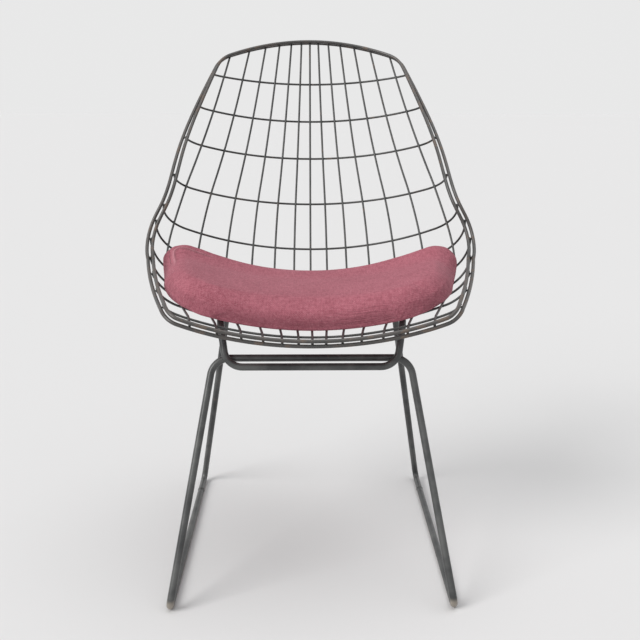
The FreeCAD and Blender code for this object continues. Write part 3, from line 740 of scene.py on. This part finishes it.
def wool(name):
    """Heathered wool in a plain weave that follows the cover's own layout.

    The weave is sin(pi u / p) sin(pi v / p) of the cover's lengths u and v and the thread pitch p: positive
    where a warp thread is on top, negative where a weft thread is. Noise drawn out along the threads makes
    the yarns, and noise of three sizes mixes the deep, middle and light dyed fibres.
    """
    n = Nodes(name)
    layout = n.add("TexCoord").outputs["UV"]
    place = n.add("TexCoord").outputs["Object"]
    split = n.add("SeparateXYZ", {"Vector": layout})
    turns = math.pi / (THREAD_PITCH * MM)
    warp = n.math("SINE", n.math("MULTIPLY", split.outputs["X"], turns))
    weft = n.math("SINE", n.math("MULTIPLY", split.outputs["Y"], turns))
    weave = n.math("MULTIPLY", warp, weft)
    along = n.add("Mapping", {"Vector": layout, "Scale": (45.0, 560.0, 1.0)}).outputs["Vector"]
    across = n.add("Mapping", {"Vector": layout, "Scale": (560.0, 45.0, 1.0)}).outputs["Vector"]
    yarn = n.math("ADD", n.noise(along, 1.0, 2.0), n.noise(across, 1.0, 2.0))
    fibre = n.noise(place, 1500.0, 3.0, 0.7)
    fleck = n.noise(place, 620.0, 2.0, 0.6)
    tuft = n.noise(place, 210.0, 3.0, 0.7)
    cloud = n.noise(place, 14.0, 3.0, 0.5)
    depth = n.math("MULTIPLY_ADD", weave, 0.10, n.math("MULTIPLY", yarn, 0.46))
    depth = n.math("ADD", depth, n.math("MULTIPLY_ADD", cloud, 0.30, -0.15))
    depth = n.math("ADD", depth, n.math("MULTIPLY_ADD", fibre, 0.36, -0.18))
    depth = n.math("ADD", depth, n.math("MULTIPLY_ADD", tuft, 0.80, -0.40))
    colour = n.blend(n.between(depth, 0.20, 0.70), WOOL_DEEP, WOOL_MIDDLE)
    colour = n.blend(n.math("MULTIPLY", n.between(fleck, 0.50, 0.80), 0.60), colour, WOOL_LIGHT)
    seam, shown = n.mark("seam_distance"), n.mark("seam_shown")
    tuck_and_painted_shade = n.math("MULTIPLY", n.ridge(seam, 0.0, 1.5), shown)
    welt_and_painted_highlight = n.math("MULTIPLY", n.ridge(seam, -3.4, 2.0), shown)
    # Painted shade in the seam's sunken tuck, darkened towards WOOL_DEEP, and a painted highlight on its
    # raised welt, lightened towards WOOL_LIGHT
    colour = n.blend(n.math("MULTIPLY", tuck_and_painted_shade, 0.35), colour, WOOL_DEEP)
    colour = n.blend(n.math("MULTIPLY", welt_and_painted_highlight, 0.50), colour, WOOL_LIGHT)
    n.put(n.shader.inputs["Base Color"], colour)
    n.shader.inputs["Roughness"].default_value = 0.92
    n.shader.inputs["Sheen Weight"].default_value = 0.12
    n.shader.inputs["Sheen Roughness"].default_value = 0.45
    n.shader.inputs["Sheen Tint"].default_value = (0.95, 0.66, 0.72, 1.0)
    n.shader.inputs["Specular IOR Level"].default_value = 0.25
    creases = n.add("Mapping", {"Vector": layout, "Scale": (26.0, 230.0, 1.0)}).outputs["Vector"]
    crease = n.math("MULTIPLY", n.noise(creases, 1.0, 2.0, 0.4), n.mark("pull"))
    threads = n.bump(weave, 0.0005, 0.35)
    yarns = n.bump(yarn, 0.0004, 0.4, threads)
    fuzz = n.bump(fibre, 0.0004, 0.45, yarns)
    pulled = n.bump(crease, 0.005, 0.5, fuzz)
    n.put(n.shader.inputs["Normal"], n.bump(n.math("SUBTRACT", welt_and_painted_highlight, tuck_and_painted_shade), 0.0016, 0.8, pulled))
    return n.material


# Cushion


def corner_loss(distance, radius):
    """r - sqrt(r^2 - (r - distance)^2) within a corner's radius r of an end, and 0 past it."""
    short = np.maximum(0.0, radius - distance)
    return radius - np.sqrt(radius**2 - short**2)


def cushion_half_width(place):
    """Half width at a length from the front: a straight taper less what its round corners take."""
    share = place / CUSHION_LENGTH
    width = CUSHION_FRONT_HALF_WIDTH + (CUSHION_REAR_HALF_WIDTH - CUSHION_FRONT_HALF_WIDTH) * share
    width = width - corner_loss(place, CUSHION_FRONT_CORNER)
    return width - corner_loss(CUSHION_LENGTH - place, CUSHION_REAR_CORNER)


def round_off(distance, band):
    """sqrt(1 - (1 - d / band)^2): 0 at the edge and 1 from a band's width in."""
    return np.sqrt(1 - np.maximum(0.0, 1 - distance / band) ** 2)


def pillow(place, spread, band):
    """Product of the rounding at the front, the rear and both sides.

    The rear band widens towards the wings by 1 + spread^4, and the side bands narrow towards the ends.
    """
    ends = round_off(place, band) * round_off(CUSHION_LENGTH - place, band * (1 + spread**4))
    to_side = cushion_half_width(place) * (1 - np.abs(spread))
    return ends * round_off(to_side, band * (0.4 + 0.6 * ends))


def cushion_layout():
    """Length from the front and share of the half width at each point of the pad's top.

    The shares run from -1 to 1. Both crowd towards their ends: they mix cosine steps with even ones.
    """
    turn = np.linspace(0, np.pi, CUSHION_ROWS)
    crowded, even = CROWDING_ALONG
    place = CUSHION_LENGTH * (crowded * (1 - np.cos(turn)) / 2 + even * np.linspace(0, 1, CUSHION_ROWS))
    turn = np.linspace(0, np.pi, CUSHION_COLUMNS + 1)
    crowded, even = CROWDING_ACROSS
    spread = crowded * -np.cos(turn) + even * np.linspace(-1, 1, CUSHION_COLUMNS + 1)
    return np.broadcast_arrays(place[:, None], spread)


def cushion_grid():
    """Closed sections of the pad from its front edge to its rear one, each a loop over top and bottom.

    A loop runs from the right edge over the top to the left edge and back below. With f from pillow(), the
    top lies at bed + T / 2 + f (T / 2 + crown) and the bottom, more squarely, at bed + T / 2 - f T / 2. The
    thickness T grows with the square of the share, and the crown fades with it. The top is then eased: each
    point takes half of its own place and a quarter of each neighbour's across, pass after pass.
    """
    place, spread = cushion_layout()
    share = place / CUSHION_LENGTH
    reach = cushion_half_width(place) * spread + CUSHION_SHIFT + CUSHION_SKEW * share
    crown = CUSHION_CROWN * np.sin(np.pi * share) ** 0.7 * (1 - spread**2)
    half = (CUSHION_THICKNESS + CUSHION_END_THICKENING * spread**2) / 2
    middle = MESH_LIFT + MESH + CUSHION_CLEARANCE + half
    station = LIP_STATION - CUSHION_FRONT_GAP - place
    upper = surface(station, reach, middle + pillow(place, spread, CUSHION_ROUND_ABOVE) * (half + crown))
    for _ in range(CUSHION_EASING_PASSES):
        upper[:, 1:-1] = (upper[:, :-2] + 2 * upper[:, 1:-1] + upper[:, 2:]) / 4
    lower = surface(station, reach, middle - pillow(place, spread, CUSHION_ROUND_BELOW) * half)
    return np.concatenate([upper, lower[:, -2:0:-1]], axis=1)


def cover_marks():
    """Distance past the seam, how much of the seam shows and how much the cover wrinkles, per point.

    The distance is -k ln(exp(-a / k) + exp(-b / k)), a soft least of the distances a and b past the seam's
    run along the side and its run along the rear. The wrinkles fade as a bell curve round their place on
    the front side.
    """
    place, spread = cushion_layout()
    reach = cushion_half_width(place) * spread
    to_side = cushion_half_width(place) * (1 - np.abs(spread)) - SEAM_FROM_SIDE
    to_rear = CUSHION_LENGTH - place - SEAM_FROM_REAR
    distance = -SEAM_TURN * np.log(np.exp(-to_side / SEAM_TURN) + np.exp(-to_rear / SEAM_TURN))
    sideways = smooth_step((SEAM_FROM_REACH - reach) / SEAM_FADE)
    shown = sideways * smooth_step((place / CUSHION_LENGTH - SEAM_FROM_SHARE) / SEAM_FADE_SHARE)
    pull = np.exp(-(((reach - WRINKLE_REACH) / WRINKLE_SPREAD) ** 2) - (place / WRINKLE_DEPTH) ** 2)
    below = slice(-2, 0, -1)
    far = np.concatenate([distance, 0 * distance[:, below] + FAR_FROM_SEAM], 1)
    shown = np.concatenate([shown, 0 * shown[:, below]], 1)
    return {"seam_distance": far, "seam_shown": shown, "pull": np.concatenate([pull, pull[:, below]], 1)}


def arc_lengths(points, axis):
    """Lengths along a grid's lines, added up from the first point."""
    steps = np.linalg.norm(np.diff(points, axis=axis), axis=-1)
    return np.concatenate([np.zeros_like(np.take(steps, [0], axis)), np.cumsum(steps, axis)], axis)


def cushion_piece(name):
    """Pad out of its sections, its two end sections sewn shut and the cover's lengths as its layout."""
    grid = cushion_grid()
    rows, around = grid.shape[:2]
    faces = grid_faces(rows, around, False)
    numbers = np.arange(rows * around).reshape(rows, around)
    half = around // 2
    for row in (0, rows - 1):
        numbers[row, half + 1 :] = numbers[row, 1:half][::-1]
    used, renumbered = np.unique(numbers, return_inverse=True)
    faces = renumbered.reshape(-1)[faces]
    piece = new_mesh(name, grid.reshape(-1, 3)[used], faces.tolist())
    wrapped = np.concatenate([grid, grid[:, :1]], axis=1)
    u = arc_lengths(wrapped, 1)
    u = u - u[:, half // 2 : half // 2 + 1]
    v = arc_lengths(wrapped, 0)
    row, column = np.meshgrid(np.arange(rows - 1), np.arange(around), indexing="ij")
    corners = [(row, column), (row, column + 1), (row + 1, column + 1), (row + 1, column)]
    layout = np.stack([np.stack([u[c], v[c]], -1) for c in corners], 2).reshape(-1, 2) * MM
    piece.data.uv_layers.new(name="cover").data.foreach_set("uv", layout.ravel())
    for key, values in cover_marks().items():
        marks = piece.data.attributes.new(key, "FLOAT", "POINT")
        marks.data.foreach_set("value", values.reshape(-1)[used])
    return piece


def coordinates(mesh):
    """The mesh's points as an array."""
    values = np.empty(len(mesh.vertices) * 3)
    mesh.vertices.foreach_get("co", values)
    return values.reshape(-1, 3)


SWELL = 4.0  # millimetres, the most that the cover may swell
SETTLE_FRAMES = 20
HELD_BELOW = -0.55  # points whose normals point down more than this stay where they are
LEAST_MOVE = 1e-9
CLOTH_SETTINGS = {
    "quality": 5,
    "mass": 0.25,
    "tension_stiffness": 12,
    "compression_stiffness": 9,
    "bending_stiffness": 0.4,
    "use_pressure": True,
    "uniform_pressure_force": 4,
}


def swell(piece):
    """Cloth under inner pressure, its underside held, with each point's move capped at SWELL."""
    rest = coordinates(piece.data)
    normals = np.empty(rest.size)
    piece.data.vertices.foreach_get("normal", normals)
    held = piece.vertex_groups.new(name="held")
    underside = np.flatnonzero(normals.reshape(-1, 3)[:, 2] < HELD_BELOW)
    held.add(underside.tolist(), 1.0, "REPLACE")
    cloth = piece.modifiers.new("cloth", "CLOTH")
    for key, value in CLOTH_SETTINGS.items():
        setattr(cloth.settings, key, value)
    cloth.settings.effector_weights.gravity = 0
    cloth.settings.vertex_group_mass = "held"
    cloth.point_cache.frame_start = 1
    cloth.point_cache.frame_end = SETTLE_FRAMES
    for frame in range(1, SETTLE_FRAMES + 1):
        bpy.context.scene.frame_set(frame)
    shown = piece.evaluated_get(bpy.context.evaluated_depsgraph_get())
    move = coordinates(shown.data) - rest
    length = np.linalg.norm(move, axis=1, keepdims=True)
    move *= np.minimum(1.0, SWELL * MM / np.maximum(length, LEAST_MOVE))
    piece.modifiers.remove(cloth)
    bpy.context.scene.frame_set(1)
    piece.vertex_groups.remove(held)
    piece.data.vertices.foreach_set("co", (rest + move).ravel())
    piece.data.update()


# The scene is put together here
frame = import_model()

MESH_LACQUER = lacquer("mesh_lacquer", DEEP_GREY, WIRE_GREY, 0.60)
RIM_LACQUER = lacquer("rim_lacquer", WIRE_GREY, RIM_GREY, 0.52)
ROD_LACQUER = lacquer("rod_lacquer", ROD_DARK_GREY, ROD_PALE_GREY, 0.62, foot_wear=True)
ROSE_WOOL = wool("rose_wool")


def finish_piece(piece, material, body, slot, *nodes):
    """Gives a piece its material and its body, and hides the nodes that it stands for. The slot is not
    used.
    """
    piece.data.materials.append(material)
    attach(piece, body)
    if nodes:
        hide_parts(*nodes)
    return piece


# Rims and mesh
for node, lift in (("inner_rim", RIM_LIFT), ("outer_rim", -RIM_LIFT)):
    loop = rim_path(lift)
    outwards = rim_path(lift * 2) - loop
    piece = tube_piece("round_" + node, loop, RIM, RIM_SIDES, outwards, closed=True)
    finish_piece(piece, RIM_LACQUER, CHAIR, "rim_lacquer", node)

WIRES = [("long_wire_centre", 0, 1)]
WIRES += [("long_wire_left_%d" % number, number, 1) for number in range(1, WIRES_PER_SIDE + 1)]
WIRES += [("long_wire_right_%d" % number, number, -1) for number in range(1, WIRES_PER_SIDE + 1)]
for node, number, side in WIRES:
    piece = tube_piece("round_" + node, long_wire_path(number, side), MESH, WIRE_SIDES, (1.0, 0.0, 0.0))
    finish_piece(piece, MESH_LACQUER, CHAIR, "mesh_lacquer", node)

for number, station in enumerate(ROWS, start=1):
    node = "cross_wire_%02d" % number
    side_on = forward(profile(station)[1])
    piece = tube_piece("round_" + node, cross_wire_path(station), MESH, WIRE_SIDES, side_on)
    finish_piece(piece, MESH_LACQUER, CHAIR, "mesh_lacquer", node)

# Base
ROD_REFERENCE = (0.707, 0.65, -0.27)  # nowhere near parallel to a run or bend of either rod
for node, path in (("front_leg_frame", front_leg_path()), ("seat_leg_frame", seat_leg_path())):
    piece = tube_piece("round_" + node, path, ROD, ROD_SIDES, ROD_REFERENCE)
    finish_piece(piece, ROD_LACQUER, CHAIR, "rod_lacquer", node)


def crossing_beads():
    """A flat bead at each crossing of a long and a cross wire, between the two."""
    numbers = np.arange(-WIRES_PER_SIDE, WIRES_PER_SIDE + 1)
    station, number = np.meshgrid(ROWS, numbers, indexing="ij")
    reach = np.stack([np.sign(k) * long_reach(ROWS, abs(k)) for k in numbers], 1)
    centre = surface(station, reach)
    along = surface(station + 1.0, reach) - centre
    up = surface(station, reach, 1.0) - centre
    return centre.reshape(-1, 3), along.reshape(-1, 3), up.reshape(-1, 3)


def rim_beads():
    """A bead on each side of every wire end, where it meets the two rims."""
    stations, reaches = [], []
    for number in range(-WIRES_PER_SIDE, WIRES_PER_SIDE + 1):
        ends = long_wire_ends(abs(number))
        stations += ends
        reaches += [math.copysign(float(long_reach(end, abs(number))), number) for end in ends]
    for station in ROWS:
        stations += [station, station]
        reaches += [side_edge(station), -side_edge(station)]
    station, reach = np.repeat(stations, 2), np.repeat(reaches, 2)
    lift = np.tile([MESH - RIM_BEAD_INSET, RIM_BEAD_INSET - MESH], len(stations))
    centre = surface(station, reach, lift)
    along = surface(station + 1.0, reach, lift) - centre
    return centre, along, surface(station, reach, lift + 1.0) - centre


spots = beads("weld_spots", *crossing_beads(), CROSSING_BEAD)
finish_piece(spots, MESH_LACQUER, CHAIR, "mesh_lacquer")
ends = beads("rim_weld_spots", *rim_beads(), RIM_BEAD)
finish_piece(ends, RIM_LACQUER, CHAIR, "rim_lacquer")


def rod_welds():
    """Weld rings at the crossbar, where the rails carry two cross wires, and at the runners' butts."""
    rings = []
    seat_rod = seat_leg_path()
    crossbar = np.array([0.0, CROSSBAR_SETBACK, CROSSBAR_HEIGHT])
    left = seat_rod[seat_rod[:, 0] > 0]
    upright = left[np.argmin(np.linalg.norm(left[:, 1:] - (crossbar + LEG_FRONT * 2 * ROD)[1:], axis=1))]
    for side in (-1, 1):
        contact = at_side(crossbar + LEG_FRONT * (ROD + ROD_STAND_OFF / 2), side * upright[0])
        rings.append(rippled_ring(contact, LEG_FRONT, 3.6, 2.0, 14))
        for row in RAIL_ROWS:
            reach = side * RAIL_SPACING / 2
            middle = surface(ROWS[row], reach)
            up = surface(ROWS[row], reach, 1.0) - middle
            rings.append(rippled_ring(middle - up * (2 * MESH - RAIL_RING_SINK), up, 2.6, 1.3, 10))
        joint = np.array([side * FOOT_SPACING / 2, JOINT_DEPTH, ROD])
        butt = rippled_ring(joint, [0, 1, 0], ROD, BUTT_RIDGE, BUTT_RIPPLES)
        butt[..., 2] = np.maximum(butt[..., 2], FLOOR_GAP)
        rings.append(butt)
    return rings


welds = weld_rings("rod_welds", rod_welds())
finish_piece(welds, ROD_LACQUER, CHAIR, "rod_lacquer")

# Cushion
pad = cushion_piece("wool_cushion")
swell(pad)
finish_piece(pad, ROSE_WOOL, CUSHION, "rose_wool", "cushion")
rounding = pad.modifiers.new("rounding", "SUBSURF")
rounding.levels = 1
rounding.render_levels = 1


# Studio
FLOOR_COLOUR = (0.75, 0.75, 0.755, 1.0)
FLOOR_REACH = 60.0  # metres, so far that the floor's end is lost in the pale world behind it
AMBIENT_LIGHT = 0.33
SEEN_LIGHT = 0.81

# Lamps: direction that the light comes from, width in degrees, strength and colour
WINDOW_SIDE = ((-2.3, -1.7, 2.0), 32.0, 2.1, (1.0, 0.99, 0.975))
OVERHEAD = ((0.4, -0.2, 3.0), 60.0, 1.15, (1.0, 1.0, 1.0))


def pale_floor():
    """One wide flat face under the feet."""
    corners = np.array([[-1, -1, 0], [1, -1, 0], [1, 1, 0], [-1, 1, 0]]) * FLOOR_REACH
    mesh = bpy.data.meshes.new("pale_floor")
    mesh.from_pydata(corners.tolist(), [], [[0, 1, 2, 3]])
    floor = bpy.data.objects.new("pale_floor", mesh)
    bpy.context.scene.collection.objects.link(floor)
    n = Nodes("pale_floor")
    n.shader.inputs["Base Color"].default_value = FLOOR_COLOUR
    n.shader.inputs["Roughness"].default_value = 0.9
    n.shader.inputs["Specular IOR Level"].default_value = 0.1
    mesh.materials.append(n.material)


def studio_light(ambient, seen):
    """World light: a dim ambient level, and a paler one where the world itself is seen or mirrored."""
    world = bpy.data.worlds.new("studio")
    world.use_nodes = True
    nodes, links = world.node_tree.nodes, world.node_tree.links
    background = nodes["Background"]
    background.inputs["Color"].default_value = (1.0, 1.0, 1.0, 1.0)
    path = nodes.new("ShaderNodeLightPath")
    looks = path.outputs["Is Camera Ray"]
    for kind in ("Is Glossy Ray", "Is Transmission Ray"):
        either = nodes.new("ShaderNodeMath")
        either.operation = "MAXIMUM"
        links.new(looks, either.inputs[0])
        links.new(path.outputs[kind], either.inputs[1])
        looks = either.outputs[0]
    level = nodes.new("ShaderNodeMath")
    level.operation = "MULTIPLY_ADD"
    links.new(looks, level.inputs[0])
    level.inputs[1].default_value = seen - ambient
    level.inputs[2].default_value = ambient
    links.new(level.outputs[0], background.inputs["Strength"])
    bpy.context.scene.world = world


def lamp(name, source, softness, strength, colour):
    """Light that comes evenly from one side, as from a wide window of the given angle far away."""
    data = bpy.data.lights.new(name, "SUN")
    data.angle = math.radians(softness)
    data.energy = strength
    data.color = colour
    light = bpy.data.objects.new(name, data)
    light.rotation_mode = "QUATERNION"
    light.rotation_quaternion = Vector(source).to_track_quat("Z", "Y")
    bpy.context.scene.collection.objects.link(light)


pale_floor()
lamp("window_side", *WINDOW_SIDE)
lamp("overhead", *OVERHEAD)
studio_light(AMBIENT_LIGHT, SEEN_LIGHT)
bpy.context.scene.view_settings.view_transform = "Standard"

# Camera, at the height and tilt of the photograph's
CAMERA_PLACE = (-0.01047, -1.38914, 0.7233)
CAMERA_LENS = 48.27
CAMERA_SENSOR = 36.0
PITCH = math.radians(14.21)
YAW = math.radians(1.05)
ROLL = math.radians(-0.14)

ahead = np.array([math.sin(YAW) * math.cos(PITCH), math.cos(YAW) * math.cos(PITCH), -math.sin(PITCH)])
level = np.array([math.cos(YAW), -math.sin(YAW), 0.0])
below = np.cross(ahead, level)
right = math.cos(ROLL) * level + math.sin(ROLL) * below
turned = np.stack([right, np.cross(right, ahead), -ahead], 1)
camera = bpy.data.objects.new("camera", bpy.data.cameras.new("camera"))
camera.data.lens = CAMERA_LENS
camera.data.sensor_width = CAMERA_SENSOR
camera.matrix_world = Matrix.Translation(CAMERA_PLACE) @ Matrix(turned.tolist()).to_4x4()
bpy.context.scene.collection.objects.link(camera)
bpy.context.scene.camera = camera
